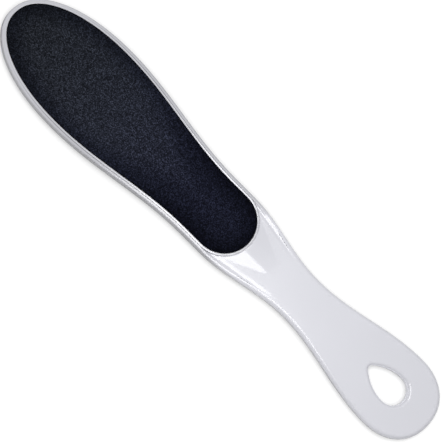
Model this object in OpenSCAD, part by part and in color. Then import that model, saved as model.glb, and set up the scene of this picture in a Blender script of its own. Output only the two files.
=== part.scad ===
// Double-sided foot file: a one-piece moulded head, neck and handle with a pad of grit on each face.
// X runs along the file from the tip of the head to the hang hole, Y runs across it, and Z is up.
// The origin is on the surface that the file lies on, under the middle of its length.

/* [Head] */
// Greatest width of the head
head_w = 49.7; // [42:0.1:58]
// Length from the tip of the head to its greatest width
tip_len = 49.6; // [40:0.1:58]
// Length over which the head narrows to the waist
taper_len = 73.6; // [65:0.2:90]
// Thickness of the head between the rims of its two faces
head_t = 6.4; // [5.6:0.1:8]
// Roundness of the tip: 2 is an ellipse, and a higher power is squarer
tip_power = 2.15; // [2:0.05:3]

/* [Neck] */
// Width of the waist, where the pads end
waist_w = 35; // [30:0.2:40]
// Length of the waist's straight sides
waist_len = 11.8; // [8:0.1:20]
// Length over which the waist narrows to the grip
neck_len = 45.6; // [34:0.2:54]
// Length of the tongue in which each face falls from the pad's end to the handle
tongue_len = 21; // [10:0.5:26]
// How far the tongue's flanks spread past the waist
tongue_spread = 1.2; // [1:0.1:5]

/* [Handle] */
// Width of the grip at its narrowest
grip_w = 22.8; // [18:0.2:28]
// Length over which the grip widens to the tail
flare_len = 57.9; // [45:0.1:65]
// Greatest width of the tail
tail_w = 38.8; // [33:0.2:46]
// Length from the tail's greatest width to its end
tail_len = 21.5; // [18:0.1:30]
// Thickness of the handle
handle_t = 5; // [4.4:0.1:5.5]
// Roundness of the tail: 2 is an ellipse, and a higher power is squarer
tail_power = 2.2; // [2:0.1:3]

/* [Edges] */
// Radius of the head's rounded edges
head_edge_r = 1.9; // [1:0.1:2.1]
// Radius of the tail's rounded edges
tail_edge_r = 1; // [0.5:0.1:1.6]
// How far each side wall leans in between the parting line and its rounded edge
draft = 0.15; // [0:0.05:0.3]

/* [Hang hole] */
// Length of the hang hole along the handle
hole_len = 21.6; // [17:0.2:24]
// Greatest width of the hang hole
hole_w = 13.8; // [10:0.1:16]
// Radius of the hang hole's narrow end
hole_tip_r = 1.8; // [1:0.1:3]
// Plastic left between the hang hole and the end of the tail
hole_wall = 15.4; // [10:0.2:20]

/* [Pads] */
// Width of the rim between the outline and each recess
rim_w = 2.7; // [2.4:0.1:4]
// Length of each recess from its tip to its round end
recess_len = 144.4; // [132:0.2:150]
// Depth of each recess
recess_depth = 0.5; // [0.3:0.05:0.8]
// Gap between a recess's wall and the edge of its pad
pad_gap = 0.15; // [0.1:0.05:0.4]
// Thickness of each adhesive film
film_t = 0.15; // [0.1:0.05:0.3]
// Thickness of each backing sheet
sheet_t = 0.4; // [0.3:0.05:0.8]
// Thickness of the front pad's fine grit coat
front_grit_t = 0.3; // [0.2:0.05:0.6]
// Thickness of the rear pad's coarse grit coat
rear_grit_t = 0.4; // [0.2:0.05:0.6]

/* [Hidden] */

// How finely the faceted shapes are drawn
$fn = 96;
tip_steps = 15;
taper_steps = 16;
waist_steps = 4;
neck_steps = 18;
flare_steps = 11;
tail_steps = 10;
edge_steps = 3;
face_steps = 10;
arc_steps = 30;

// Which way each face looks
front = 1;
rear = -1;

// Distances from the tip at which one stretch of the outline ends and the next begins
waist_start = tip_len + taper_len;
neck_start = waist_start + waist_len;
flare_start = neck_start + neck_len;
tail_start = flare_start + flare_len;
total_len = tail_start + tail_len;

// Height of the mid-plane, with the rear pad's grit on the surface below
rear_stack = film_t + sheet_t + rear_grit_t;
mid_z = rear_stack - recess_depth + head_t / 2;

// The half circle that ends each recess: its radius is the recess's half width there, found in a few steps
recess_end_steps = 6;
function recess_end(r, steps) =
    steps <= 0 ? r : recess_end(half_width(rim_w + recess_len - r) - rim_w, steps - 1);
recess_end_r = recess_end(waist_w / 2 - rim_w, recess_end_steps);
recess_end_x = rim_w + recess_len - recess_end_r;

// The tongue falls from that half circle to the handle's level, and its foot is a wedge with a blunt point
tongue_power = 1.2;
tongue_root = recess_end_r + rim_w;
fall_h = (head_t - handle_t) / 2;

// The teardrop of the hang hole: a round end, a small tip and two flank arcs that run into both. Each end
// stands a hair proud of the flanks, so that they cross it cleanly
hole_proud = 0.03;
hole_r = hole_w / 2;
hole_round_x = total_len - hole_wall - hole_r;
hole_tip_reach = hole_len - hole_r - hole_tip_r;
flank_half = hole_r - hole_proud;
flank_tip_r = hole_tip_r - hole_proud;
flank_r = (pow(hole_tip_reach, 2) + pow(flank_half, 2) - pow(flank_tip_r, 2))
    / (2 * (flank_half - flank_tip_r));
flank_reach = hole_tip_reach * flank_r / (flank_r - flank_tip_r);

// Every cut runs past the face that it opens by this much
overrun = 2;

// A value part of the way from one to another, and a smooth start and stop for such a change
function mix(a, b, share) = a + (b - a) * share;
function ease(share) = (1 - cos(180 * min(max(share, 0), 1))) / 2;

// Half width of a rounded end at a distance from its apex
function end_half_width(from_apex, len, half_w, power) =
    half_w * pow(max(1 - pow(max(1 - from_apex / len, 0), power), 0), 1 / power);

// Half width of the outline at a distance from the tip
function half_width(s) =
    s < tip_len ? end_half_width(s, tip_len, head_w / 2, tip_power)
    : s < waist_start ? mix(head_w, waist_w, ease((s - tip_len) / taper_len)) / 2
    : s < neck_start ? waist_w / 2
    : s < flare_start ? mix(waist_w, grip_w, ease((s - neck_start) / neck_len)) / 2
    : s < tail_start ? mix(grip_w, tail_w, ease((s - flare_start) / flare_len)) / 2
    : end_half_width(total_len - s, tail_len, tail_w / 2, tail_power);

// Distances from the tip at which the outline is drawn, closest together near both ends
function end_step(len, power, share) = len * (1 - pow(cos(90 * share), 2 / power));
function even_steps(start, len, count) = [for (i = [0 : count - 1]) start + len * i / count];
stations = concat(
    [for (i = [0 : tip_steps - 1]) end_step(tip_len, tip_power, i / tip_steps)],
    even_steps(tip_len, taper_len, taper_steps),
    even_steps(waist_start, waist_len, waist_steps),
    even_steps(neck_start, neck_len, neck_steps),
    even_steps(flare_start, flare_len, flare_steps),
    [for (i = [tail_steps : -1 : 0]) total_len - end_step(tail_len, tail_power, i / tail_steps)]
);
last = len(stations) - 1;

// The outline's +Y side as points, and the outward direction at each of them
side = [for (s = stations) [s, half_width(s)]];
function mirrored(p) = [p.x, -p.y];
function side_at(i) = i < 0 ? mirrored(side[-i]) : i > last ? mirrored(side[2 * last - i]) : side[i];
function turned(v) = [-v.y, v.x] / norm(v);
outward = [for (i = [0 : last]) turned(side_at(i + 1) - side_at(i - 1))];
function inset_point(i, inset) = side[i] - outward[i] * inset;

// Radius of the rounded edge at a distance from the tip
function edge_r(s) = mix(head_edge_r, tail_edge_r, ease((s - neck_start) / (tail_start - neck_start)));
function face_inset(i) = draft + edge_r(stations[i]);

// Share of the fall from the head's level to the handle's at a point: it starts at the recess's end and
// follows contours that stretch from a round arc to a wedge
function contour(ahead, across, power) = pow(pow(ahead, power) + pow(across, power), 1 / power);
function fall_share(s, y) =
    let (
        ahead = max(s - recess_end_x, 0),
        inner = contour(ahead / recess_end_r, abs(y) / tongue_root, 2),
        outer = contour(ahead / (recess_end_r + tongue_len), abs(y) / (tongue_root + tongue_spread),
            tongue_power)
    )
    ahead <= 0 || inner <= 1 ? 0 : outer >= 1 ? 1 : ease((inner - 1) / (inner - outer));

// Height of a face above the mid-plane
function face_h(p) = head_t / 2 - fall_h * fall_share(p.x, p.y);

// Point i of the ring that a share of the quarter turn over the rounded edge reaches, on a face
function edge_point(i, share, face) =
    let (
        r = edge_r(stations[i]),
        p = inset_point(i, draft + r * (1 - cos(90 * share))),
        top = face_h(inset_point(i, face_inset(i)))
    )
    [p.x, p.y, face * (top - r * (1 - sin(90 * share)))];
function parting_point(i) = [side[i].x, side[i].y, 0];

// A closed ring: the +Y side from tip to tail, then its mirror image back again
function ring(points) =
    concat(points, [for (i = [last - 1 : -1 : 1]) [points[i].x, -points[i].y, points[i].z]]);
function edge_ring(share, face) = ring([for (i = [0 : last]) edge_point(i, share, face)]);
rings = concat(
    [for (k = [edge_steps : -1 : 0]) edge_ring(k / edge_steps, rear)],
    [ring([for (i = [0 : last]) parting_point(i)])],
    [for (k = [0 : edge_steps]) edge_ring(k / edge_steps, front)]
);
ring_size = 2 * last;
ring_count = len(rings);

// The points inside each face lie in rows across it, one row for each station
function row_point(i, share, face) =
    let (p = inset_point(i, face_inset(i)), q = [p.x, p.y * (1 - 2 * share)])
    [q.x, q.y, face * face_h(q)];
function face_points(face) =
    [for (i = [1 : last - 1]) for (c = [1 : face_steps - 1]) row_point(i, c / face_steps, face)];
body_points = concat([for (r = rings) each r], face_points(rear), face_points(front));

// Where a point is found in that list
function on_ring(r, i) = r * ring_size + (i + ring_size) % ring_size;
function on_face(i, c, ring_index, base) =
    c == 0 ? on_ring(ring_index, i)
    : c == face_steps ? on_ring(ring_index, -i)
    : base + (i - 1) * (face_steps - 1) + c - 1;

// The triangles of a four-sided patch, and of a whole face seen from the front
function patch(a, b, c, d) = [[a, b, c], [a, c, d]];
function face_triangles(ring_index, base) = concat(
    [for (c = [0 : face_steps - 1])
        [on_ring(ring_index, 0), on_face(1, c, ring_index, base), on_face(1, c + 1, ring_index, base)]],
    [for (i = [1 : last - 2]) for (c = [0 : face_steps - 1]) each patch(
        on_face(i, c, ring_index, base), on_face(i + 1, c, ring_index, base),
        on_face(i + 1, c + 1, ring_index, base), on_face(i, c + 1, ring_index, base))],
    [for (c = [0 : face_steps - 1])
        [on_face(last - 1, c, ring_index, base), on_ring(ring_index, last),
            on_face(last - 1, c + 1, ring_index, base)]]
);
function flipped(triangles) = [for (t = triangles) [t[2], t[1], t[0]]];
rear_base = ring_count * ring_size;
front_base = rear_base + (last - 1) * (face_steps - 1);
body_triangles = concat(
    [for (r = [0 : ring_count - 2]) for (i = [0 : ring_size - 1])
        each patch(on_ring(r, i), on_ring(r, i + 1), on_ring(r + 1, i + 1), on_ring(r + 1, i))],
    flipped(face_triangles(0, rear_base)),
    face_triangles(ring_count - 1, front_base)
);

// The outline of a recess or a pad, which follows the head at an inset and ends in a half circle
function pad_side(inset) = [for (i = [0 : last]) let (p = inset_point(i, inset)) if (p.x < recess_end_x) p];
function pad_end(r) =
    [for (k = [0 : arc_steps]) let (a = 180 * k / arc_steps) [recess_end_x + r * sin(a), r * cos(a)]];
module pad_outline(inset) {
    upper = pad_side(inset);
    lower = [for (k = [len(upper) - 1 : -1 : 1]) mirrored(upper[k])];
    polygon(concat(upper, pad_end(recess_end_r + rim_w - inset), lower));
}

// Places what is drawn along the outline's own distances in the file's frame
module in_frame() {
    translate([-total_len / 2, 0, mid_z]) children();
}

// One layer of a pad, at its height above the recess's floor
module pad_layer(face, floor_gap, thickness) {
    low = head_t / 2 - recess_depth + floor_gap;
    in_frame()
        translate([0, 0, face > 0 ? low : -low - thickness])
            linear_extrude(height = thickness) pad_outline(rim_w + pad_gap);
}

module recess(face) {
    floor_h = head_t / 2 - recess_depth;
    cut_h = recess_depth + overrun;
    translate([0, 0, face > 0 ? floor_h : -floor_h - cut_h])
        linear_extrude(height = cut_h) pad_outline(rim_w);
}

module hang_hole() {
    cut_h = handle_t + 2 * overrun;
    translate([hole_round_x, 0, -cut_h / 2])
        linear_extrude(height = cut_h) {
            circle(r = hole_r);
            translate([-hole_tip_reach, 0]) circle(r = hole_tip_r);
            intersection() {
                translate([0, flank_r - flank_half]) circle(r = flank_r);
                translate([0, flank_half - flank_r]) circle(r = flank_r);
                translate([-flank_reach, -hole_r]) square([flank_reach, hole_w]);
            }
        }
}

module handle_body() {
    color([0.89, 0.89, 0.92])
        in_frame()
            difference() {
                polyhedron(points = body_points, faces = body_triangles, convexity = 6);
                recess(front);
                recess(rear);
                hang_hole();
            }
}

module adhesive_film(face) {
    color([0.85, 0.83, 0.74]) pad_layer(face, 0, film_t);
}

module backing_sheet(face) {
    color([0.16, 0.16, 0.18]) pad_layer(face, film_t, sheet_t);
}

module grit_coat(face) {
    color([0.1, 0.11, 0.14])
        pad_layer(face, film_t + sheet_t, face > 0 ? front_grit_t : rear_grit_t);
}

handle_body();
adhesive_film(front);  // front_adhesive_film
backing_sheet(front);  // front_backing_sheet
grit_coat(front);  // front_grit_coat
adhesive_film(rear);  // rear_adhesive_film
backing_sheet(rear);  // rear_backing_sheet
grit_coat(rear);  // rear_grit_coat
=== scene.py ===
import logging
import math
from dataclasses import dataclass, field
from enum import Enum

import bpy
import numpy as np
from bpy.types import ID, Material, Node, NodeSocket as Socket, NodeTree, Object
from mathutils import Matrix, Vector
from mathutils.geometry import delaunay_2d_cdt


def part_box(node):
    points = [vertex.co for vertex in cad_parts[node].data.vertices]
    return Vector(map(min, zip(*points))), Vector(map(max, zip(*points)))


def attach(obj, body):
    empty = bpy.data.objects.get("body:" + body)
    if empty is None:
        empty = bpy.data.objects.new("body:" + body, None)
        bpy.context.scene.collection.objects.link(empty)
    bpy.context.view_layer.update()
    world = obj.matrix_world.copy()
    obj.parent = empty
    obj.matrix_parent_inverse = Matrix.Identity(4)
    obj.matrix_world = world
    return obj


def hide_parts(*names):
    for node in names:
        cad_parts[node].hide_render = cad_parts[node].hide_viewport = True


# A double-sided foot file: one glossy moulding with a pad of grit on each face.
# The file's classes measure in millimetres: along it from the head's tip, across it, and up from its
# mid-plane. MeshDraft.piece turns these into the frame's metres.

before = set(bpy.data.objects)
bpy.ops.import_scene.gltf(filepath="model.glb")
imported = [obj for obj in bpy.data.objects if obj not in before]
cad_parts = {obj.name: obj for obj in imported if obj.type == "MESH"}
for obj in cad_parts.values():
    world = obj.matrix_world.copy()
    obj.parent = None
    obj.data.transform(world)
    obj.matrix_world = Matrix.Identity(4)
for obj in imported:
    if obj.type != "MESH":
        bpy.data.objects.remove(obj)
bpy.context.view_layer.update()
LOG = logging.getLogger("foot_file")

Array = np.ndarray
Values = Array | float
Loop = tuple[Array, Values, Values]
Colour = tuple[float, float, float]
Pair = tuple[float, float]
Profile = tuple[Pair, ...]
Inputs = dict[str | int, Socket | float | tuple[float, ...]]
TONE = "tone"
MM = 0.001
HALF = 0.5
UNIT = (0.0, 1.0)
WHITE = (1.0, 1.0, 1.0, 1.0)
SIXTY_DEGREES = math.pi / 3
RIGHT_ANGLE = 90.0
QUARTER_TURN = math.pi / 2
WELD = 1e-6
DRAWN_POINTS = 400
LEAST_PARTS = 5
BATCH = 1500


class Face(Enum):
    """The two faces of the file, by what their pieces' names begin with."""

    FRONT = "front"
    REAR = "rear"


class Layer(Enum):
    """The layers of a pad, from the recess's floor outwards."""

    FILM = "adhesive_film"
    SHEET = "backing_sheet"
    GRIT = "grit_coat"


class Combine(Enum):
    """Ways to combine two values in a node."""

    SUM = "ADD"
    PRODUCT = "MULTIPLY"
    GREATER = "MAXIMUM"


def eased(value: Array, start: Values, end: Values) -> Array:
    """Returns shares that rise smoothly from 0, where values reach the start, to 1 at the end."""
    return (1 - np.cos(math.pi * np.clip((value - start) / (end - start), 0, 1))) / 2


def mix(low: Values, high: Values, share: Values) -> Array:
    """Returns the values part of the way from low to high."""
    return low + (high - low) * share


def soft_least(one: Array, other: Array, blend: float) -> Array:
    """Returns the lesser of two values, with the change from one to the other rounded off."""
    return (one + other - np.sqrt((one - other) ** 2 + blend ** 2)) / 2


def turned_right(points: Array) -> Array:
    """Returns the mirror images of plan points across the long axis."""
    return points * (1.0, -1.0)


def parts_in(length: float, step: float) -> int:
    """Returns how many steps come closest to filling a length, with LEAST_PARTS as the least."""
    return max(int(round(length / step)), LEAST_PARTS)


def inside(points: Array, loops: list[Array]) -> Array:
    """Tests plan points against closed loops.

    Args:
        points: The points to test.
        loops: The corners of an outer loop, and of any holes in it.

    Returns:
        Whether each point lies inside the outer loop and outside the holes.
    """
    start, end = np.vstack(loops), np.vstack([np.roll(loop, -1, axis=0) for loop in loops])
    found = np.zeros(len(points), bool)
    for part in np.array_split(np.arange(len(points)), max(len(points) // BATCH, 1)):
        x, y = points[part, 0:1], points[part, 1:2]
        spans = (start[:, 1] > y) != (end[:, 1] > y)
        rise = np.where(end[:, 1] == start[:, 1], 1.0, end[:, 1] - start[:, 1])
        cross = start[:, 0] + (y - start[:, 1]) / rise * (end[:, 0] - start[:, 0])
        found[part] = (spans & (x < cross)).sum(axis=1) % 2 == 1
    return found


def gap_to(points: Array, others: Array) -> Array:
    """Returns each plan point's distance from the nearest of the others."""
    parts = np.array_split(points, max(len(points) // BATCH, 1))
    return np.sqrt(np.concatenate([((p[:, None] - others) ** 2).sum(axis=2).min(axis=1) for p in parts]))


def honeycomb(low: Array, high: Array, step: float) -> Array:
    """Lays points out in staggered rows.

    Args:
        low: The area's lowest corner.
        high: The area's highest corner.
        step: The spacing in a row.

    Returns:
        The plan points.
    """
    xs = np.arange(low[0], high[0], step)
    ys = np.arange(low[1], high[1], step * math.sin(SIXTY_DEGREES))
    grid_x, grid_y = np.meshgrid(xs, ys)
    grid_x = grid_x + (np.arange(len(ys)) % 2)[:, None] * step * HALF
    return np.column_stack([grid_x.ravel(), grid_y.ravel()])


def linked(name: str, data: ID) -> Object:
    """Makes an object and links it to the scene.

    Args:
        name: Its name.
        data: Its mesh, light or camera.

    Returns:
        The object.
    """
    made = bpy.data.objects.new(name, data)
    bpy.context.scene.collection.objects.link(made)
    return made


def dressed(piece: Object, material: Material, slot: str, *nodes: str) -> Object:
    """Gives a piece its material, hangs it under the root body and hides the CAD nodes that it replaces.

    Args:
        piece: The piece.
        material: Its material.
        slot: The record's material slot; not used.
        nodes: The CAD nodes that it replaces.

    Returns:
        The piece.
    """
    piece.data.materials.append(material)
    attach(piece, "root")
    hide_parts(*nodes)
    return piece


class MeshDraft:
    """Points and faces gathered for one mesh."""

    def __init__(self) -> None:
        """Starts an empty draft."""
        self.points = np.zeros((0, 3))
        self.tones = np.zeros(0)
        self.faces: list[tuple[int, ...]] = []

    def add(self, plan: Array, height: Values, tone: Values = 1.0) -> Array:
        """Adds points.

        Args:
            plan: Their places in plan.
            height: Their heights, or one height for all.
            tone: Their tones, or one tone for all.

        Returns:
            The new points' numbers.
        """
        first = len(self.points)
        heights = np.broadcast_to(height, (len(plan),))
        self.points = np.vstack([self.points, np.column_stack([plan, heights])])
        self.tones = np.concatenate([self.tones, np.broadcast_to(tone, (len(plan),))])
        return np.arange(first, first + len(plan))

    def rings(self, loops: list[Loop]) -> list[Array]:
        """Adds closed rings of the same length and joins each to the next with four-sided faces.

        Args:
            loops: The plan, heights and tones of each ring, from the outside in.

        Returns:
            The point numbers of each ring.
        """
        made = [self.add(*loop) for loop in loops]
        for outer, inner in zip(made, made[1:]):
            quads = np.column_stack([outer, np.roll(outer, -1), np.roll(inner, -1), inner])
            self.faces += [tuple(corners) for corners in quads.tolist()]
        return made

    def fill(self, rings: list[Array], seeds: Array, heights: Array) -> Array:
        """Fills the area inside a ring with triangles that look up.

        Args:
            rings: The ring's point numbers, and those of any holes in it.
            seeds: Plan points between them.
            heights: The heights of those points.

        Returns:
            The seeds' point numbers.
        """
        inner = self.add(seeds, heights)
        numbers = np.concatenate([*rings, inner])
        plan = self.points[numbers, :2]
        edges, first = [], 0
        for ring in rings:
            here = np.arange(first, first + len(ring))
            edges += np.column_stack([here, np.roll(here, -1)]).tolist()
            first += len(ring)
        made = delaunay_2d_cdt([Vector(p) for p in plan.tolist()], edges, [], 0, WELD)
        back = np.array([origins[0] if origins else -1 for origins in made[3]])
        triangles = back[np.array([t for t in made[2] if len(t) == 3], int)]
        triangles = triangles[(triangles >= 0).all(axis=1)]
        loops = [self.points[ring, :2] for ring in rings]
        triangles = triangles[inside(plan[triangles].mean(axis=1), loops)]
        a, b, c = (plan[triangles[:, k]] for k in range(3))
        area = (b[:, 0] - a[:, 0]) * (c[:, 1] - a[:, 1]) - (b[:, 1] - a[:, 1]) * (c[:, 0] - a[:, 0])
        triangles[area < 0] = triangles[area < 0][:, ::-1]
        self.faces += [tuple(t) for t in numbers[triangles].tolist()]
        return inner

    def cap(self, rim: Array, face: Face = Face.FRONT) -> None:
        """Closes a ring with flat triangles.

        Args:
            rim: The ring's point numbers.
            face: The way that the triangles look.
        """
        count = len(self.faces)
        self.fill([rim], np.zeros((0, 2)), np.zeros(0))
        if face is Face.REAR:
            self.faces[count:] = [tuple(reversed(corners)) for corners in self.faces[count:]]

    def mirror_down(self) -> None:
        """Adds the draft's mirror image below its mid-plane, sharing the points that lie on it."""
        count = len(self.points)
        below = self.points[:, 2] > WELD
        image = np.arange(count)
        image[below] = count + np.arange(below.sum())
        self.points = np.vstack([self.points, self.points[below] * (1.0, 1.0, -1.0)])
        self.tones = np.concatenate([self.tones, self.tones[below]])
        self.faces += [tuple(int(image[i]) for i in reversed(corners)) for corners in self.faces]

    def flip(self) -> None:
        """Turns the draft upside down."""
        self.points = self.points * (1.0, 1.0, -1.0)
        self.faces = [tuple(reversed(corners)) for corners in self.faces]

    def piece(self, name: str, origin: Vector) -> Object:
        """Makes the Blender object, with the tones as a mesh attribute.

        Args:
            name: The piece's name.
            origin: Where the tip's middle lies in the frame.

        Returns:
            The object, smooth-shaded and linked to the scene.
        """
        mesh = bpy.data.meshes.new(name)
        mesh.from_pydata((self.points * MM + np.array(origin)).tolist(), [], self.faces)
        mesh.validate()
        mesh.polygons.foreach_set("use_smooth", [True] * len(mesh.polygons))
        mesh.attributes.new(TONE, "FLOAT", "POINT").data.foreach_set("value", self.tones.astype(np.float32))
        mesh.update()
        return linked(name, mesh)


@dataclass
class Outline:
    """The file's shape in plan: a long oval head, a waist, a narrow grip and a round tail."""

    middle: Vector
    length: float = 260.0
    head_width: float = 49.7
    waist_width: float = 35.0
    grip_width: float = 22.8
    tail_width: float = 38.8
    tip_length: float = 49.6
    tip_power: float = 2.15
    tail_length: float = 21.5
    tail_power: float = 2.2

    # Where the waist, the neck and the flare begin, from the tip
    waist_start: float = 123.2
    neck_start: float = 135.0
    flare_start: float = 180.6

    # The points drawn between tip and tail, and the spacing of the stations
    middle_points: int = 3000
    step: float = 0.8
    side: Array = field(init=False)
    outward: Array = field(init=False)

    def __post_init__(self) -> None:
        """Draws the outline's left side finely and spaces its stations evenly."""
        turn = np.linspace(0, QUARTER_TURN, DRAWN_POINTS)
        tip = self.tip_length * (1 - np.cos(turn) ** (2 / self.tip_power))
        tail = self.length - self.tail_length * (1 - np.cos(turn[::-1]) ** (2 / self.tail_power))
        middle = np.linspace(self.tip_length, self.tail_start, self.middle_points)[1:-1]
        along = np.concatenate([tip, middle, tail])
        line = np.column_stack([along, self.half_width(along)])
        run = np.concatenate([[0.0], np.cumsum(np.linalg.norm(np.diff(line, axis=0), axis=1))])
        marks = np.linspace(0, run[-1], parts_in(run[-1], self.step) + 1)
        self.side = np.column_stack([np.interp(marks, run, column) for column in line.T])
        self.side[[0, -1], 1] = 0
        ahead = np.vstack([self.side[1:], turned_right(self.side[-2:-1])])
        behind = np.vstack([turned_right(self.side[1:2]), self.side[:-1]])
        way = ahead - behind
        self.outward = np.column_stack([-way[:, 1], way[:, 0]]) / np.linalg.norm(way, axis=1)[:, None]

    @property
    def tail_start(self) -> float:
        """Where the tail is widest."""
        return self.length - self.tail_length

    @property
    def origin(self) -> Vector:
        """Where the tip's middle lies in the frame."""
        return self.middle - Vector((self.length * MM / 2, 0.0, 0.0))

    def half_width(self, along: Array) -> Array:
        """Gives the outline's distance from the long axis.

        Args:
            along: Distances from the tip.

        Returns:
            Half the width at each of them.
        """
        tip = self.end(along, self.tip_length, self.head_width, self.tip_power)
        taper = mix(self.head_width, self.waist_width, eased(along, self.tip_length, self.waist_start)) / 2
        neck = mix(self.waist_width, self.grip_width, eased(along, self.neck_start, self.flare_start)) / 2
        flare = mix(self.grip_width, self.tail_width, eased(along, self.flare_start, self.tail_start)) / 2
        tail = self.end(self.length - along, self.tail_length, self.tail_width, self.tail_power)
        ends = (self.tip_length, self.waist_start, self.flare_start, self.tail_start)
        return np.select([along < end for end in ends], [tip, taper, neck, flare], tail)

    @staticmethod
    def end(from_apex: Array, length: float, width: float, power: float) -> Array:
        """Returns half the width of a rounded end at distances from its apex."""
        left = np.clip(1 - np.clip(from_apex, 0, None) / length, 0, 1)
        return width / 2 * (1 - left ** power) ** (1 / power)

    def inset_side(self, inset: Values) -> Array:
        """Returns the left side's stations moved inwards."""
        return self.side - self.outward * np.reshape(inset, (-1, 1))

    @staticmethod
    def closed(left: Array) -> Array:
        """Closes a left side into a ring, anticlockwise from above."""
        return np.vstack([left[::-1], turned_right(left[1:-1])])

    @staticmethod
    def ring_of(values: Array) -> Array:
        """Spreads values given for the left side's stations over the whole ring."""
        return np.concatenate([values[::-1], values[1:-1]])


@dataclass
class Recess:
    """The pocket that holds a pad: it follows the head at an inset and ends in a half circle."""

    outline: Outline
    rim_width: float = 2.7
    length: float = 144.4
    floor: float = 2.7
    arc_step: float = 0.8

    @property
    def end_radius(self) -> float:
        """Radius of the half circle at its end."""
        return self.outline.waist_width / 2 - self.rim_width

    @property
    def end_along(self) -> float:
        """Where that half circle's centre lies."""
        return self.rim_width + self.length - self.end_radius

    def loop(self, inset: float) -> Array:
        """Draws a ring that follows the recess.

        Args:
            inset: How far the ring lies inside the file's outline.

        Returns:
            The ring's plan points, the same in number at every inset.
        """
        reference = self.outline.inset_side(self.rim_width)
        left = self.outline.inset_side(inset)[reference[:, 0] < self.end_along - self.arc_step * HALF]
        radius = self.end_radius + self.rim_width - inset
        turn = np.linspace(0, QUARTER_TURN, parts_in(self.end_radius * QUARTER_TURN, self.arc_step) + 1)
        arc = np.column_stack([self.end_along + radius * np.sin(turn), radius * np.cos(turn)])
        arc[-1, 1] = 0
        return Outline.closed(np.vstack([left, arc]))


@dataclass
class HangHole:
    """The teardrop hole in the tail: a round end, a small tip and two flank arcs that run into both."""

    centre: float = 237.7
    radius: float = 6.9
    tip_radius: float = 1.8
    length: float = 21.6
    step: float = 0.35

    def loop(self, offset: float) -> Array:
        """Draws the hole's edge moved outwards.

        Args:
            offset: How far it is moved.

        Returns:
            The ring's plan points, anticlockwise from above.
        """
        reach = self.length - self.radius - self.tip_radius
        flank = (reach ** 2 + self.radius ** 2 - self.tip_radius ** 2) / (2 * (self.radius - self.tip_radius))
        flank_y = self.radius - flank
        meet = math.atan2(-flank_y, -reach)
        arcs = (
            (0.0, 0.0, self.radius, 0.0, QUARTER_TURN),
            (0.0, flank_y, flank, QUARTER_TURN, meet),
            (-reach, 0.0, self.tip_radius, meet, math.pi),
        )
        left = []
        for x, y, radius, start, stop in arcs:
            turn = np.linspace(start, stop, parts_in(radius * (stop - start), self.step) + 1)[:-1]
            out = radius + offset
            left.append(np.column_stack([self.centre + x + out * np.cos(turn), y + out * np.sin(turn)]))
        left.append(np.array([[self.centre - reach - self.tip_radius - offset, 0.0]]))
        side = np.vstack(left)
        return np.vstack([side, turned_right(side[1:-1])[::-1]])


@dataclass
class Relief:
    """The heights of a face above the mid-plane outside the pad's frame.

    From the pad's end a mound falls to the handle, with a straight front slope and two flat flanks that
    meet the handle in a wedge. A shallow valley lies between each flank and the lip at the file's edge, and
    the lip runs on from the head's rim and fades out along the neck. Starts, ends and lengths are measured
    past the centre of the recess's half circle, and the others across the file.
    """

    outline: Outline
    recess: Recess
    head_height: float = 3.1
    mound_height: float = 3.15
    handle_height: float = 2.5
    settle_length: float = 4.0

    # The mound, and how far its creases are rounded off
    front_start: float = 15.6
    front_end: float = 30.5
    foot_start: float = 16.9
    foot_taper: float = 0.447
    flank_slope: float = 0.104
    crease: float = 0.07
    foot_crease: float = 0.03

    # The valley, with the stretch in which its bottom spreads inwards
    valley_depth: float = 0.16
    valley_inner: float = 4.3
    valley_bottom: float = 2.45
    valley_hold: float = 20.0
    valley_length: float = 44.0
    spread: float = 0.9
    spread_rise: Pair = (6.0, 14.0)
    spread_fall: Pair = (24.0, 36.0)

    # The lip
    lip_inner: float = 1.45
    lip_length: float = 29.0
    lip_power: float = 0.8

    def mound(self, ahead: Array, across: Array) -> Array:
        """Returns the mound's height over the handle.

        Args:
            ahead: Distances past the centre of the recess's half circle.
            across: Distances from the long axis.

        Returns:
            The heights, none below zero.
        """
        rise = self.mound_height - self.handle_height
        foot = self.foot_start - self.foot_taper * ahead - across
        flank = self.flank_slope * foot / math.hypot(1, self.foot_taper)
        front = rise * (self.front_end - ahead) / (self.front_end - self.front_start)
        level = soft_least(soft_least(flank, front, self.crease), np.full_like(flank, rise), self.crease)
        return -soft_least(-level, np.zeros_like(level), self.foot_crease)

    def height(self, plan: Array) -> Array:
        """Gives the face's height.

        Args:
            plan: Plan points.

        Returns:
            The height at each of them.
        """
        along, across = plan[:, 0], np.abs(plan[:, 1])
        ahead = along - self.recess.end_along
        from_edge = self.outline.half_width(along) - across
        forward = np.maximum(ahead, 0)
        valley_stay = 1 - eased(forward, self.valley_hold, self.valley_length)
        into_valley = 1 - eased(from_edge, self.valley_bottom, self.valley_inner)
        low = self.handle_height + self.mound(forward, across) - self.valley_depth * valley_stay * into_valley
        lip_stay = 1 - eased(forward, 0, self.lip_length) ** self.lip_power
        spread = self.spread * eased(forward, *self.spread_rise) * (1 - eased(forward, *self.spread_fall))
        onto_lip = 1 - eased(from_edge, self.lip_inner, self.valley_bottom + spread)
        lip = np.maximum(mix(self.handle_height, self.head_height, lip_stay), low)
        return mix(self.head_height, mix(low, lip, onto_lip), eased(ahead, 0, self.settle_length))


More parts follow.
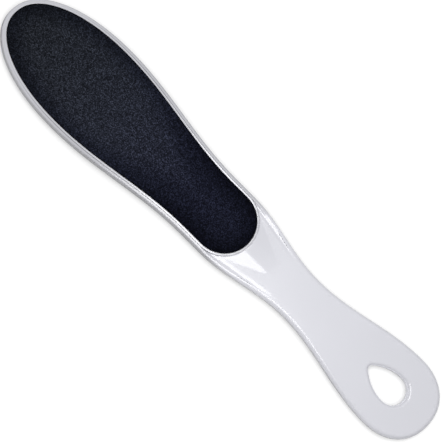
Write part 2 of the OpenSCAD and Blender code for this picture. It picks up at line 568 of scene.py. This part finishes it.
def edge_section(turns: Profile, parts: int) -> tuple[Array, Array]:
    """Draws an edge from the top of the wall to the face, with its points closer together where it bends.

    Args:
        turns: Lengths along the edge, and the slope in degrees that each ends at.
        parts: The number of parts.

    Returns:
        Each point's inset from the wall, and its depth below the face.
    """
    lengths, slopes = (np.array(column) for column in zip(*turns))
    run = np.concatenate([[0.0], np.cumsum(lengths)])
    marks = np.linspace(0, run[-1], DRAWN_POINTS)
    slope = np.interp(marks, run, [RIGHT_ANGLE, *slopes])
    middle = np.radians((slope[1:] + slope[:-1]) / 2)
    inset = np.concatenate([[0.0], np.cumsum(np.diff(marks) * np.cos(middle))])
    height = np.concatenate([[0.0], np.cumsum(np.diff(marks) * np.sin(middle))])
    spread = marks / marks[-1] + 1 - slope / RIGHT_ANGLE
    wanted = np.linspace(0, spread[-1], parts + 1)
    return np.interp(wanted, spread, inset), height[-1] - np.interp(wanted, spread, height)


@dataclass
class Moulding:
    """The one-piece plastic body.

    A tone is a share of the plastic's colour that paints shade and light onto the moulding: painted shade on
    the walls, the shoulder, the crevices and the frame, and painted light on the handle's edges, the frame's
    end and the hole's wall. Spans and lengths are measured past the centre of the recess's half circle, and
    reaches from the tip.
    """

    outline: Outline
    recess: Recess
    hole: HangHole
    relief: Relief

    # The edges as turns, and the stretch in which the head's runs into the handle's
    head_edge: Profile = ((0.5, 27.0), (0.45, 14.0), (0.6, 3.0))
    handle_edge: Profile = ((0.25, 50.0), (1.0, 36.0), (1.3, 0.0))
    hole_edge: Profile = ((0.3, 48.0), (0.9, 32.0), (0.9, 0.0))
    round_steps: int = 12
    handle_span: Pair = (6.0, 36.0)

    # The walls: how far each leans in, and the sections from the mould's parting line up
    tip_draft: float = 0.6
    head_draft: float = 0.35
    handle_draft: float = 0.15
    draft_reach: float = 60.0
    parting: Profile = ((0.0, 0.0), (0.3, 0.09), (0.45, 0.2), (0.55, 0.4))
    hole_parting: Profile = ((-0.04, 0.0), (-0.02, 0.08))

    # The shoulder, and the frame with its insets and drops
    shoulder: tuple[float, ...] = (0.25, 0.5, 0.75, 0.92)
    support: float = 0.05
    frame_height: float = 3.2
    frame_start: float = 1.68
    frame_section: Profile = (
        (0.04, 0.112), (0.1, 0.085), (0.2, 0.035), (0.27, 0.01), (0.33, 0.0), (0.6, 0.0), (0.86, 0.0),
        (0.92, 0.008), (0.97, 0.03), (1.0, 0.06), (1.015, 0.11))
    recess_wall: Profile = ((0.0, 0.25), (0.01, 0.05), (0.06, 0.0))
    arc_sink: float = 0.03

    # Tones of the side wall and the shoulder: painted shade on the head's wall, shoulder and crevice, and
    # painted light on the handle's edge past the corner
    tip_tone: float = 0.92
    tip_tone_reach: float = 65.0
    wall_tone: float = 0.64
    shoulder_tone: float = 0.74
    turn_shares: Pair = (0.25, 0.5)
    corner_tone: float = 1.06
    corner_length: float = 22.0
    crevice_tone: float = 0.36
    crevice_span: Pair = (-4.0, 6.0)

    # Tones of the frame, the face and the hole: painted shade on the frame and on the face near the pad's
    # end, a painted highlight on the frame towards its end, and painted light on the hole's wall
    frame_tone: float = 0.84
    frame_end_tone: float = 1.08
    frame_end_span: Pair = (-45.0, -15.0)
    crevice_end: float = 0.28
    arc_tone: float = 0.74
    arc_span: Pair = (2.0, 12.0)
    face_tone: float = 0.93
    face_reach: float = 22.0
    hole_tone: float = 1.5
    hole_turn: float = 0.3

    # Spacing of the face's points on the neck and on the handle
    fine_step: float = 0.42
    step: float = 0.9

    def tones(self, along: Array, tone: float) -> Array:
        """Returns a tone at distances from the tip, raised towards the tip's tone near the tip, so that the
        painted shade fades out there.
        """
        return mix(max(tone, self.tip_tone), tone, eased(along, 0, self.tip_tone_reach))

    def outer_rings(self, draft: MeshDraft) -> Array:
        """Draws the side wall, the edge and the shoulder beside the head's frame.

        Args:
            draft: The mesh that takes the rings.

        Returns:
            The innermost ring's point numbers.
        """
        line = self.outline
        along = line.side[:, 0]
        past = along - self.recess.end_along
        to_handle = eased(past, *self.handle_span)
        wall = mix(self.tip_draft, self.head_draft, eased(along, 0, self.draft_reach))
        wall = mix(wall, self.handle_draft, to_handle)
        head, handle = (edge_section(turns, self.round_steps) for turns in (self.head_edge, self.handle_edge))
        insets, drops = (mix(one, other, to_handle[:, None]) for one, other in zip(head, handle))
        room = self.frame_start - 2 * self.support - wall
        insets = insets * mix(np.minimum(room / insets[:, -1], 1), 1.0, to_handle)[:, None]
        width = insets[:, -1]
        start = wall + width
        top = self.relief.height(line.inset_side(start))
        # The wall and shoulder tones paint shade on the head's side wall and shoulder.
        wall_tone, shoulder_tone = self.tones(along, self.wall_tone), self.tones(along, self.shoulder_tone)
        rings = [(wall * share, np.full_like(wall, up), wall_tone) for share, up in self.parting]
        for inset, drop in zip(insets.T, drops.T):
            turned = np.interp(inset / width, self.turn_shares, UNIT)
            rings.append((wall + inset, top - drop, mix(wall_tone, shoulder_tone, turned)))
        # The crevice tone paints shade at the shoulder's foot beside the frame.
        crevice = 1 - eased(past, *self.crevice_span)
        for share in self.shoulder:
            inset = mix(mix(start, self.frame_start, share), start + self.support * (1 + share), to_handle)
            dark = self.tones(along, mix(self.shoulder_tone, self.crevice_tone, share))
            up = self.relief.height(line.inset_side(inset))
            rings.append((inset, up, mix(shoulder_tone, dark, crevice)))
        # Past the corner the edge takes the corner tone, painted light on the handle's edge.
        corner_stays = 1 - eased(past, 0, self.corner_length)
        loops = []
        for inset, up, tone in rings:
            corner = mix(self.corner_tone, 1.0, np.clip((inset - wall) / width, 0, 1))
            plan = Outline.closed(line.inset_side(inset))
            loops.append((plan, Outline.ring_of(up), Outline.ring_of(mix(corner, tone, corner_stays))))
        return draft.rings(loops)[-1]

    def frame_rings(self, draft: MeshDraft) -> Array:
        """Draws the low crowned frame round the pad, the recess's wall and its floor.

        Args:
            draft: The mesh that takes the rings.

        Returns:
            The outermost ring's point numbers.
        """
        recess, top = self.recess, self.frame_height
        outside = recess.loop(self.frame_start)
        along = outside[:, 0]
        past = along - recess.end_along
        in_head = 1 - eased(past, *self.arc_span)
        # The frame's tones paint shade, with a painted highlight towards the frame's end and painted shade at
        # its foot and round the arc.
        tone = mix(self.tones(along, self.frame_tone), self.frame_end_tone, eased(past, *self.frame_end_span))
        tone = mix(self.arc_tone, tone, in_head)
        dark = mix(self.arc_tone, self.tones(along, self.crevice_tone), in_head)
        foot = self.relief.height(outside) - self.arc_sink * (1 - in_head)
        loops = [(outside, foot, dark)]
        for inset, drop in self.frame_section:
            plan = recess.loop(self.frame_start + inset)
            if inset < self.crevice_end:
                loops.append((plan, np.maximum(top - drop, foot), dark))
            else:
                loops.append((plan, top - drop, tone))
        for more, up in self.recess_wall:
            loops.append((recess.loop(recess.rim_width + more), recess.floor + up, tone))
        made = draft.rings(loops)
        draft.cap(made[-1])
        return made[0]

    def hole_rings(self, draft: MeshDraft) -> Array:
        """Draws the hang hole's wall and rounded edge.

        Args:
            draft: The mesh that takes the rings.

        Returns:
            The outermost ring's point numbers.
        """
        top = self.relief.handle_height
        inset, drop = edge_section(self.hole_edge, self.round_steps)
        section = [*self.hole_parting, *zip(inset, top - drop), (inset[-1] + self.support, top)]
        loops = []
        for offset, up in reversed(section):
            # The hole's tone paints light on its wall.
            tone = mix(self.hole_tone, 1.0, eased(offset, 0, self.hole_turn))
            loops.append((self.hole.loop(offset), up, tone))
        return draft.rings(loops)[0]

    def face_seeds(self, loops: list[Array]) -> Array:
        """Lays out the face's points, closer together on the neck.

        Args:
            loops: The plans of the face's outer ring and of the holes in it.

        Returns:
            The plan points, clear of every ring.
        """
        neck_end = self.recess.end_along + self.relief.valley_length
        half = self.outline.tail_width / 2
        areas = (
            (self.recess.end_along - self.step, neck_end, self.fine_step),
            (neck_end + self.step, self.outline.length, self.step),
        )
        kept = []
        for start, stop, step in areas:
            seeds = honeycomb(np.array([start, -half]), np.array([stop, half]), step)
            seeds = seeds[inside(seeds, loops)]
            kept.append(seeds[gap_to(seeds, np.vstack(loops)) > step * HALF])
        return np.vstack(kept)

    def build(self) -> Object:
        """Makes the moulding.

        Returns:
            The moulding's object.
        """
        draft = MeshDraft()
        rings = [self.outer_rings(draft), self.frame_rings(draft), self.hole_rings(draft)]
        seeds = self.face_seeds([draft.points[ring, :2] for ring in rings])
        face = draft.fill(rings, seeds, self.relief.height(seeds))
        # The face's tones paint shade near the pad's end.
        from_pad = np.hypot(seeds[:, 0] - self.recess.end_along, seeds[:, 1]) - self.recess.end_radius
        draft.tones[face] = mix(self.face_tone, 1.0, eased(from_pad, 0, self.face_reach))
        draft.mirror_down()
        return draft.piece("handle_moulding", self.outline.origin)

    def dress(self, plastic: Material) -> Object:
        """Builds the moulding in its plastic and returns its object."""
        return dressed(self.build(), plastic, "body_plastic", "handle_body")


@dataclass
class AbrasivePad:
    """A pad of one face: an adhesive film, a cloth sheet and a coat of grit in resin."""

    recess: Recess
    face: Face
    grit_slot: str
    grit_thickness: float
    grain_step: float
    grain_height: float
    seed: int
    gap: float = 0.15
    film_thickness: float = 0.15
    sheet_thickness: float = 0.4
    soft_share: float = 0.2

    # The coat's edge: its section as insets and multiples of its drop, and how far it is rounded
    edge_drop: float = 0.07
    edge_section: Profile = ((0.0, 2.2), (0.05, 1.3), (0.18, 1.0))
    edge_width: float = 0.8

    # The grains: how far they stray and keep from the edge, as shares of their spacing
    grain_stray: float = 0.3
    grain_margin: float = 0.6
    grain_power: float = 1.4

    # How far the edge's shade reaches in, and the coat's tone at its sides, and its painted shade at its end
    # and its tip
    edge_reach: float = 9.5
    end_reach: float = 17.0
    tip_length: float = 62.0
    end_span: Pair = (62.0, 126.0)
    edge_share: float = 0.25
    end_share: float = 0.5
    tip_share: float = 0.7

    def coat_shade(self, along: Array, from_edge: Array) -> Array:
        """Gives the coat's tone: darkest at its edges, and darker towards its end and its tip, which is
        painted shade round the lamp's reflection in the middle.

        Args:
            along: Distances from the file's tip.
            from_edge: Distances from the coat's edge.

        Returns:
            Shares from 0 to 1.
        """
        to_end = eased(along, *self.end_span)
        inner = np.minimum(from_edge / mix(self.edge_reach, self.end_reach, to_end), 1)
        from_tip = mix(self.tip_share, 1.0, eased(along, 0, self.tip_length))
        return mix(self.edge_share * (1 - to_end), 1.0, inner) * mix(from_tip, self.end_share, to_end)

    def grains(self, draft: MeshDraft, ring: Array, high: float) -> None:
        """Fills the coat's upper side with grains in relief.

        Args:
            draft: The mesh that holds the coat's edge.
            ring: The point numbers of the edge's innermost ring.
            high: Height of the highest grain above the mid-plane.
        """
        rng = np.random.default_rng(self.seed)
        rim = draft.points[ring, :2]
        seeds = honeycomb(rim.min(axis=0), rim.max(axis=0), self.grain_step)
        seeds = seeds + rng.uniform(-self.grain_stray, self.grain_stray, seeds.shape) * self.grain_step
        seeds = seeds[inside(seeds, [rim])]
        seeds = seeds[gap_to(seeds, rim) > self.grain_step * self.grain_margin]
        from_edge = gap_to(seeds, rim)
        grain = rng.random(len(seeds)) ** self.grain_power
        drop = self.edge_drop * (1 - eased(from_edge, 0, self.edge_width))
        inner = draft.fill([ring], seeds, high - drop - self.grain_height * (1 - grain))
        # The coat's tones: darker at its edges, with painted shade at its end and its tip.
        draft.tones[inner] = self.coat_shade(seeds[:, 0], from_edge)

    def piece(self, layer: Layer, low: float, high: float) -> Object:
        """Makes a layer: a plain one with softened edges, or the coat of grit.

        Args:
            layer: Which layer it is.
            low: Height of its underside above the mid-plane.
            high: Height of its upper side.

        Returns:
            The layer's object.
        """
        soft = (high - low) * self.soft_share
        section = [(soft, low), (0.0, low + soft), (0.0, high - soft), (soft, high)]
        if layer is Layer.GRIT:
            section = [(0.0, low)]
            section += [(inset, high - times * self.edge_drop) for inset, times in self.edge_section]
        draft = MeshDraft()
        outside = self.recess.rim_width + self.gap
        made = draft.rings([(self.recess.loop(outside + inset), up, 0.0) for inset, up in section])
        if layer is Layer.GRIT:
            self.grains(draft, made[-1], high)
        else:
            draft.cap(made[-1])
        draft.cap(made[0], Face.REAR)
        if self.face is Face.REAR:
            draft.flip()
        return draft.piece(f"{self.face.value}_{layer.value}_piece", self.recess.outline.origin)

    def build(self) -> dict[Layer, Object]:
        """Makes the pad's three layers.

        Returns:
            Their objects, by layer.
        """
        made, low = {}, self.recess.floor
        thicknesses = (self.film_thickness, self.sheet_thickness, self.grit_thickness)
        for layer, thickness in zip(Layer, thicknesses):
            made[layer] = self.piece(layer, low, low + thickness)
            low += thickness
        return made

    def dress(self, glue: Material, cloth: Material, grit: Material) -> list[Object]:
        """Builds the pad's layers in their materials.

        Args:
            glue: The film's material.
            cloth: The sheet's material.
            grit: The coat's material.

        Returns:
            The layers' objects, from the recess's floor outwards.
        """
        slots = ("adhesive", "backing", self.grit_slot)
        return [
            dressed(piece, material, slot, f"{self.face.value}_{layer.value}")
            for (layer, piece), material, slot in zip(self.build().items(), (glue, cloth, grit), slots)
        ]


@dataclass
class NodeGraph:
    """The nodes of a material or a world, with short ways to add and link them."""

    tree: NodeTree

    def feed(self, node: Node, inputs: Inputs) -> None:
        """Links outputs to a node's inputs, or gives them plain values.

        Args:
            node: The node.
            inputs: What each input gets, by its name or number.
        """
        for name, source in inputs.items():
            if isinstance(source, Socket):
                self.tree.links.new(source, node.inputs[name])
            else:
                node.inputs[name].default_value = source

    def node(self, kind: str, inputs: Inputs) -> Node:
        """Adds a node.

        Args:
            kind: Its type.
            inputs: What its inputs get.

        Returns:
            The node.
        """
        made = self.tree.nodes.new(kind)
        self.feed(made, inputs)
        return made

    def spot(self) -> Socket:
        """Adds the object's coordinates and returns their output."""
        return self.node("ShaderNodeTexCoord", {}).outputs["Object"]

    def tone(self) -> Socket:
        """Adds the mesh's tones.

        Returns:
            Their output.
        """
        made = self.node("ShaderNodeAttribute", {})
        made.attribute_name = TONE
        return made.outputs["Fac"]

    def noise(self, scale: float, detail: float) -> Socket:
        """Adds a noise texture in object coordinates and returns its output."""
        made = self.node("ShaderNodeTexNoise", {"Scale": scale, "Detail": detail, "Vector": self.spot()})
        return made.outputs["Fac"]

    def bump(self, height: Socket, strength: float, depth: float) -> Socket:
        """Turns a value into relief of a strength and a depth in metres, and returns the normal output."""
        made = self.node("ShaderNodeBump", {"Strength": strength, "Distance": depth, "Height": height})
        return made.outputs["Normal"]

    def ramp(self, source: Socket, stops: list[tuple[float, Colour]]) -> Socket:
        """Colours a value by a ramp.

        Args:
            source: The value.
            stops: Places on the ramp and their colours.

        Returns:
            The ramp's colour output.
        """
        made = self.node("ShaderNodeValToRGB", {"Fac": source})
        elements = made.color_ramp.elements
        while len(elements) < len(stops):
            elements.new(HALF)
        for element, (place, colour) in zip(elements, stops):
            element.position = place
            element.color = (*colour, 1.0)
        return made.outputs["Color"]

    def combined(self, way: Combine, one: Socket, other: Socket | float) -> Socket:
        """Combines two values.

        Args:
            way: How they are combined.
            one: The first value.
            other: The second, an output or a plain number.

        Returns:
            The output with the result.
        """
        made = self.node("ShaderNodeMath", {0: one, 1: other})
        made.operation = way.value
        return made.outputs["Value"]

    def tinted(self, one: Socket, other: Socket) -> Socket:
        """Multiplies two colours.

        Args:
            one: The first colour.
            other: The second colour.

        Returns:
            The output with the result.
        """
        made = self.node("ShaderNodeMix", {})
        made.data_type, made.blend_type = "RGBA", "MULTIPLY"
        self.feed(made, {"Factor": 1.0, "A": one, "B": other})
        return made.outputs["Result"]

    def spread(
        self, value: Socket, span: Pair, onto: tuple[Socket | float, float], soft: bool = False
    ) -> Socket:
        """Maps a value from one span onto another.

        Args:
            value: The value.
            span: The span that it comes from.
            onto: The span that it is mapped onto.
            soft: Whether it starts and stops smoothly.

        Returns:
            The output with the result.
        """
        limits = {"From Min": span[0], "From Max": span[1], "To Min": onto[0], "To Max": onto[1]}
        made = self.node("ShaderNodeMapRange", {"Value": value, **limits})
        if soft:
            made.interpolation_type = "SMOOTHSTEP"
        return made.outputs["Result"]


@dataclass(frozen=True)
class Finish:
    """A procedural material: what all finishes share.

    A finish names its noises by their scale, in one over metres, and their detail.
    """

    name: str
    colour: Colour
    roughness: float
    ior: float = 1.5
    specular: float = 0.5
    relief_strength: float = 0.5
    relief_depth: float = 0.00005

    def shaded(self, tones: Profile) -> list[tuple[float, Colour]]:
        """Returns ramp stops with the finish's colour at each place's tone."""
        return [(place, tuple(part * tone for part in self.colour)) for place, tone in tones]

    def surface(self, graph: NodeGraph) -> tuple[Socket, Socket]:
        """Adds what gives the surface its look and returns the outputs with its colour and its relief."""
        raise NotImplementedError

    def material(self) -> Material:
        """Makes the material.

        Returns:
            The material.
        """
        made = bpy.data.materials.new(self.name)
        made.use_nodes = True
        made.diffuse_color = (*self.colour, 1.0)
        graph = NodeGraph(made.node_tree)
        colour, height = self.surface(graph)
        graph.feed(made.node_tree.nodes["Principled BSDF"], {
            "Base Color": colour,
            "Normal": graph.bump(height, self.relief_strength, self.relief_depth),
            "Roughness": self.roughness,
            "IOR": self.ior,
            "Specular IOR Level": self.specular,
        })
        return made


@dataclass(frozen=True)
class GlossyPlastic(Finish):
    """White moulded plastic: its colour times the mesh's tones of painted shade and light, with a faint
    mottle and a polished mould's waviness.
    """

    name: str = "moulded_plastic"
    colour: Colour = (0.627, 0.629, 0.674)
    roughness: float = 0.15
    ior: float = 1.53
    relief_strength: float = 0.15
    relief_depth: float = 0.0004
    mottle: Pair = (45.0, 2.0)
    mottle_tones: Profile = ((0.35, 0.985), (0.65, 1.0))
    wave: Pair = (60.0, 1.0)

    def surface(self, graph: NodeGraph) -> tuple[Socket, Socket]:
        """Adds mottle, the tones of painted shade and light, and waves, and returns the outputs with the
        colour and the relief.
        """
        mottle = graph.ramp(graph.noise(*self.mottle), self.shaded(self.mottle_tones))
        return graph.tinted(mottle, graph.tone()), graph.noise(*self.wave)


@dataclass(frozen=True)
class Grit(Finish):
    """Dark abrasive grains in resin: blacker and bluer along the pad's edge, with painted shade towards its
    end and its tip, warmer towards its tip.
    """

    name: str = "fine_black_grit"
    colour: Colour = (0.0174, 0.0198, 0.0325)
    roughness: float = 0.75
    specular: float = 0.02
    relief_depth: float = 0.00006
    grain_scale: float = 2900.0
    grain_tones: Profile = ((0.0, 0.2), (0.45, 0.62), (0.8, 1.45), (1.0, 2.7))
    edge_shift: Colour = (-0.1, -0.05, 0.2)
    edge_tones: Profile = (
        (0.0, 0.12), (0.25, 0.47), (0.36, 0.5), (0.49, 0.66), (0.56, 0.75), (0.66, 0.83), (0.79, 0.95),
        (0.93, 1.0))
    tint_span: Pair = (-0.115, -0.015)
    tints: tuple[tuple[float, Colour], ...] = (
        (0.0, (1.0, 1.0, 0.79)), (0.5, (1.0, 1.0, 0.91)), (1.0, (0.97, 0.94, 1.0)))

    def edge_colour(self, tone: float) -> Colour:
        """Returns the colour that shades the coat to a tone, shifted more as the tone is darker."""
        return tuple(tone * (1 + shift * (1 - tone)) for shift in self.edge_shift)

    def surface(self, graph: NodeGraph) -> tuple[Socket, Socket]:
        """Adds the grains, the edge's shade with the painted shade at the pad's ends, and the tint along the
        pad.

        Args:
            graph: The material's nodes.

        Returns:
            The outputs with its colour and its relief.
        """
        spot = graph.spot()
        cells = graph.node("ShaderNodeTexVoronoi", {"Scale": self.grain_scale, "Vector": spot})
        split = graph.node("ShaderNodeSeparateColor", {"Color": cells.outputs["Color"]})
        axes = graph.node("ShaderNodeSeparateXYZ", {"Vector": spot})
        grains = graph.ramp(split.outputs["Red"], self.shaded(self.grain_tones))
        edge = graph.ramp(graph.tone(), [(place, self.edge_colour(tone)) for place, tone in self.edge_tones])
        tint = graph.ramp(graph.spread(axes.outputs["X"], self.tint_span, UNIT), list(self.tints))
        return graph.tinted(graph.tinted(grains, edge), tint), split.outputs["Green"]


@dataclass(frozen=True)
class Cloth(Finish):
    """The resin-treated cloth of the backing sheet, woven at a quarter of a millimetre."""

    name: str = "backing_cloth"
    colour: Colour = (0.02, 0.02, 0.024)
    roughness: float = 0.85
    thread_scale: float = 2500.0
    thread_wander: float = 0.6
    thread_tones: Profile = ((0.0, 0.6), (1.0, 1.5))

    def surface(self, graph: NodeGraph) -> tuple[Socket, Socket]:
        """Adds the threads of both directions.

        Args:
            graph: The material's nodes.

        Returns:
            The outputs with its colour and its relief.
        """
        spot, waves = graph.spot(), []
        for direction in ("X", "Y"):
            threads = {"Scale": self.thread_scale, "Distortion": self.thread_wander, "Vector": spot}
            wave = graph.node("ShaderNodeTexWave", threads)
            wave.bands_direction = direction
            waves.append(wave.outputs["Fac"])
        weave = graph.combined(Combine.PRODUCT, *waves)
        return graph.ramp(weave, self.shaded(self.thread_tones)), weave


@dataclass(frozen=True)
class Adhesive(Finish):
    """The pale film of glue under a pad, with small clouds in it."""

    name: str = "glue_film"
    colour: Colour = (0.75, 0.72, 0.62)
    roughness: float = 0.4
    relief_strength: float = 0.3
    cloud: Pair = (900.0, 3.0)
    cloud_tones: Profile = ((0.3, 0.85), (0.7, 1.1))

    def surface(self, graph: NodeGraph) -> tuple[Socket, Socket]:
        """Adds the clouds, and returns the outputs with the colour and the relief."""
        cloud = graph.noise(*self.cloud)
        return graph.ramp(cloud, self.shaded(self.cloud_tones)), cloud


@dataclass(frozen=True)
class Lamp:
    """A soft light: its place, the spot on the floor that it looks at, its size and its radiance."""

    name: str
    place: tuple[float, float, float]
    target: Pair
    size: Pair
    radiance: float = 7.0

    def build(self) -> None:
        """Makes the light, unseen by the camera."""
        light = bpy.data.lights.new(self.name, "AREA")
        light.shape = "RECTANGLE"
        light.size, light.size_y = self.size
        light.energy = self.radiance * math.pi * self.size[0] * self.size[1]
        made = linked(self.name, light)
        made.location = self.place
        away = Vector((*self.target, 0.0)) - Vector(self.place)
        made.rotation_euler = away.to_track_quat("-Z", "Y").to_euler()
        made.visible_camera = False


@dataclass
class Studio:
    """The pale floor, the soft light and the camera at the photograph's viewing angle, all in metres."""

    # The camera: its angles in degrees, and the photograph's scale and place in pixels
    picture: float = 443.0
    distance: float = 0.56
    tilt: float = 11.5
    turn: float = -45.04
    focal_pixels: float = 1266.55
    middle_pixel: Pair = (219.61, 217.67)
    sensor: float = 36.0
    clip: Pair = (0.01, 20.0)

    # The floor: its glow starts weaker round the file, and its nooks are shaded
    floor_size: float = 6.0
    floor_cells: int = 24
    floor_albedo: Pair = (0.4975, 0.5)
    floor_grain: Pair = (300.0, 2.0)
    glow: float = 0.5
    glow_span: Pair = (0.06, 0.4)
    gloss_share: float = 0.6
    nook_reach: float = 0.003
    nook_shade: float = 0.6
    nook_samples: int = 8

    # The dome, by height and by depth
    sky: float = 0.56
    horizon: float = 0.08
    sky_span: Pair = (0.2, 0.7)
    back_light: float = 0.3
    back_span: Pair = (0.1, 0.8)

    lamps: tuple[Lamp, ...] = (
        Lamp("overhead_softbox", place=(0.018, -0.062, 0.3), target=(0.018, -0.062), size=(0.141, 0.196)),
        Lamp("strip_light", place=(-0.051, 0.245, 1.2), target=(-0.051, 0.0), size=(0.152, 0.31)),
    )

    def camera(self, middle: Vector) -> None:
        """Places the camera so that the file's middle falls where the photograph has it.

        Args:
            middle: The middle of the file.
        """
        tilt, turn = math.radians(self.tilt), math.radians(self.turn)
        back = Vector((0.0, -math.sin(tilt), math.cos(tilt)))
        along = Vector((1.0, 0.0, 0.0))
        across = back.cross(along)
        right = along * math.cos(turn) - across * math.sin(turn)
        up = along * math.sin(turn) + across * math.cos(turn)
        place = middle + back * self.distance
        scale = self.distance / self.focal_pixels
        off_x, off_y = ((self.picture / 2 - pixel) * scale for pixel in self.middle_pixel)
        target = middle + right * off_x - up * off_y
        back = (place - target).normalized()
        right = (right - back * right.dot(back)).normalized()
        up = back.cross(right)
        data = bpy.data.cameras.new("studio_camera")
        data.sensor_width = self.sensor
        data.lens = self.sensor * self.focal_pixels / self.picture
        data.clip_start, data.clip_end = self.clip
        made = linked("studio_camera", data)
        made.matrix_world = Matrix.Translation(place) @ Matrix((right, up, back)).transposed().to_4x4()
        bpy.context.scene.camera = made

    def floor(self) -> None:
        """Makes the pale floor, which shows white to the camera and keeps the file's shadow."""
        half, row = self.floor_size / 2, self.floor_cells + 1
        ticks = np.linspace(-half, half, row)
        points = [(float(x), float(y), 0.0) for y in ticks for x in ticks]
        corners = [r * row + c for r in range(self.floor_cells) for c in range(self.floor_cells)]
        mesh = bpy.data.meshes.new("studio_floor")
        mesh.from_pydata(points, [], [(k, k + 1, k + row + 1, k + row) for k in corners])
        mesh.materials.append(self.floor_material())
        made = linked("studio_floor", mesh)

    def floor_material(self) -> Material:
        """Makes a pale diffuse surface, with a glow for the camera and a share of it for reflections.

        Returns:
            The floor's material.
        """
        made = bpy.data.materials.new("pale_floor")
        made.use_nodes = True
        made.node_tree.nodes.clear()
        graph = NodeGraph(made.node_tree)
        reach = graph.node("ShaderNodeVectorMath", {0: graph.spot()})
        reach.operation = "LENGTH"
        far = graph.spread(reach.outputs["Value"], self.glow_span, (self.glow, 1.0))
        nook = graph.node("ShaderNodeAmbientOcclusion", {"Distance": self.nook_reach})
        nook.samples = self.nook_samples
        shade = graph.spread(nook.outputs["AO"], UNIT, (1 - self.nook_shade, 1.0))
        path = graph.node("ShaderNodeLightPath", {})
        seen = path.outputs["Is Camera Ray"]
        for name in ("Is Glossy Ray", "Is Transmission Ray"):
            dimmed = graph.combined(Combine.PRODUCT, path.outputs[name], self.gloss_share)
            seen = graph.combined(Combine.GREATER, seen, dimmed)
        strength = graph.combined(Combine.PRODUCT, graph.combined(Combine.PRODUCT, far, shade), seen)
        tone = graph.spread(graph.noise(*self.floor_grain), UNIT, self.floor_albedo)
        diffuse = graph.node("ShaderNodeBsdfDiffuse", {"Color": tone})
        glow = graph.node("ShaderNodeEmission", {"Strength": strength})
        both = graph.node("ShaderNodeAddShader", {0: diffuse.outputs["BSDF"], 1: glow.outputs["Emission"]})
        graph.node("ShaderNodeOutputMaterial", {"Surface": both.outputs["Shader"]})
        return made

    def world(self) -> None:
        """Sets a dome that is dimmer towards the horizon, with white behind the floor's far edge."""
        made = bpy.data.worlds.new("studio_world")
        made.use_nodes = True
        graph = NodeGraph(made.node_tree)
        way = graph.node("ShaderNodeTexCoord", {}).outputs["Generated"]
        split = graph.node("ShaderNodeSeparateXYZ", {"Vector": way})
        dome = graph.spread(split.outputs["Z"], self.sky_span, (self.horizon, self.sky), soft=True)
        behind = graph.spread(split.outputs["Y"], self.back_span, (0.0, self.back_light), soft=True)
        path = graph.node("ShaderNodeLightPath", {})
        unseen = graph.combined(Combine.SUM, dome, behind)
        strength = graph.spread(path.outputs["Is Camera Ray"], UNIT, (unseen, 1.0))
        graph.feed(made.node_tree.nodes["Background"], {"Color": WHITE, "Strength": strength})
        bpy.context.scene.world = made

    def build(self, middle: Vector) -> None:
        """Makes the whole studio.

        Args:
            middle: The middle of the file.
        """
        self.camera(middle)
        self.floor()
        self.world()
        for lamp in self.lamps:
            lamp.build()


def main() -> None:
    """Builds the file and the studio, and reports each piece."""
    logging.basicConfig(level=logging.INFO, format="%(name)s: %(message)s")
    low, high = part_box("handle_body")
    outline = Outline((low + high) / 2)
    recess = Recess(outline)
    coarse_grit = Grit("coarse_black_grit", colour=(0.0172, 0.0196, 0.0308), grain_scale=1700.0)
    finishes = (GlossyPlastic(), Cloth(), Adhesive(), Grit(), coarse_grit)
    plastic, cloth, glue, fine, coarse = (finish.material() for finish in finishes)
    moulding = Moulding(outline, recess, HangHole(), Relief(outline, recess))
    front = AbrasivePad(
        recess, Face.FRONT, "fine_grit", grit_thickness=0.3, grain_step=0.36, grain_height=0.07, seed=11)
    rear = AbrasivePad(
        recess, Face.REAR, "coarse_grit", grit_thickness=0.4, grain_step=0.46, grain_height=0.13, seed=12)
    pieces = [moulding.dress(plastic), *front.dress(glue, cloth, fine), *rear.dress(glue, cloth, coarse)]
    for piece in pieces:
        LOG.info("%s: %d faces", piece.name, len(piece.data.polygons))
    Studio().build(outline.middle)
    bpy.context.scene.view_settings.view_transform = "Standard"


if __name__ == "__main__":
    main()
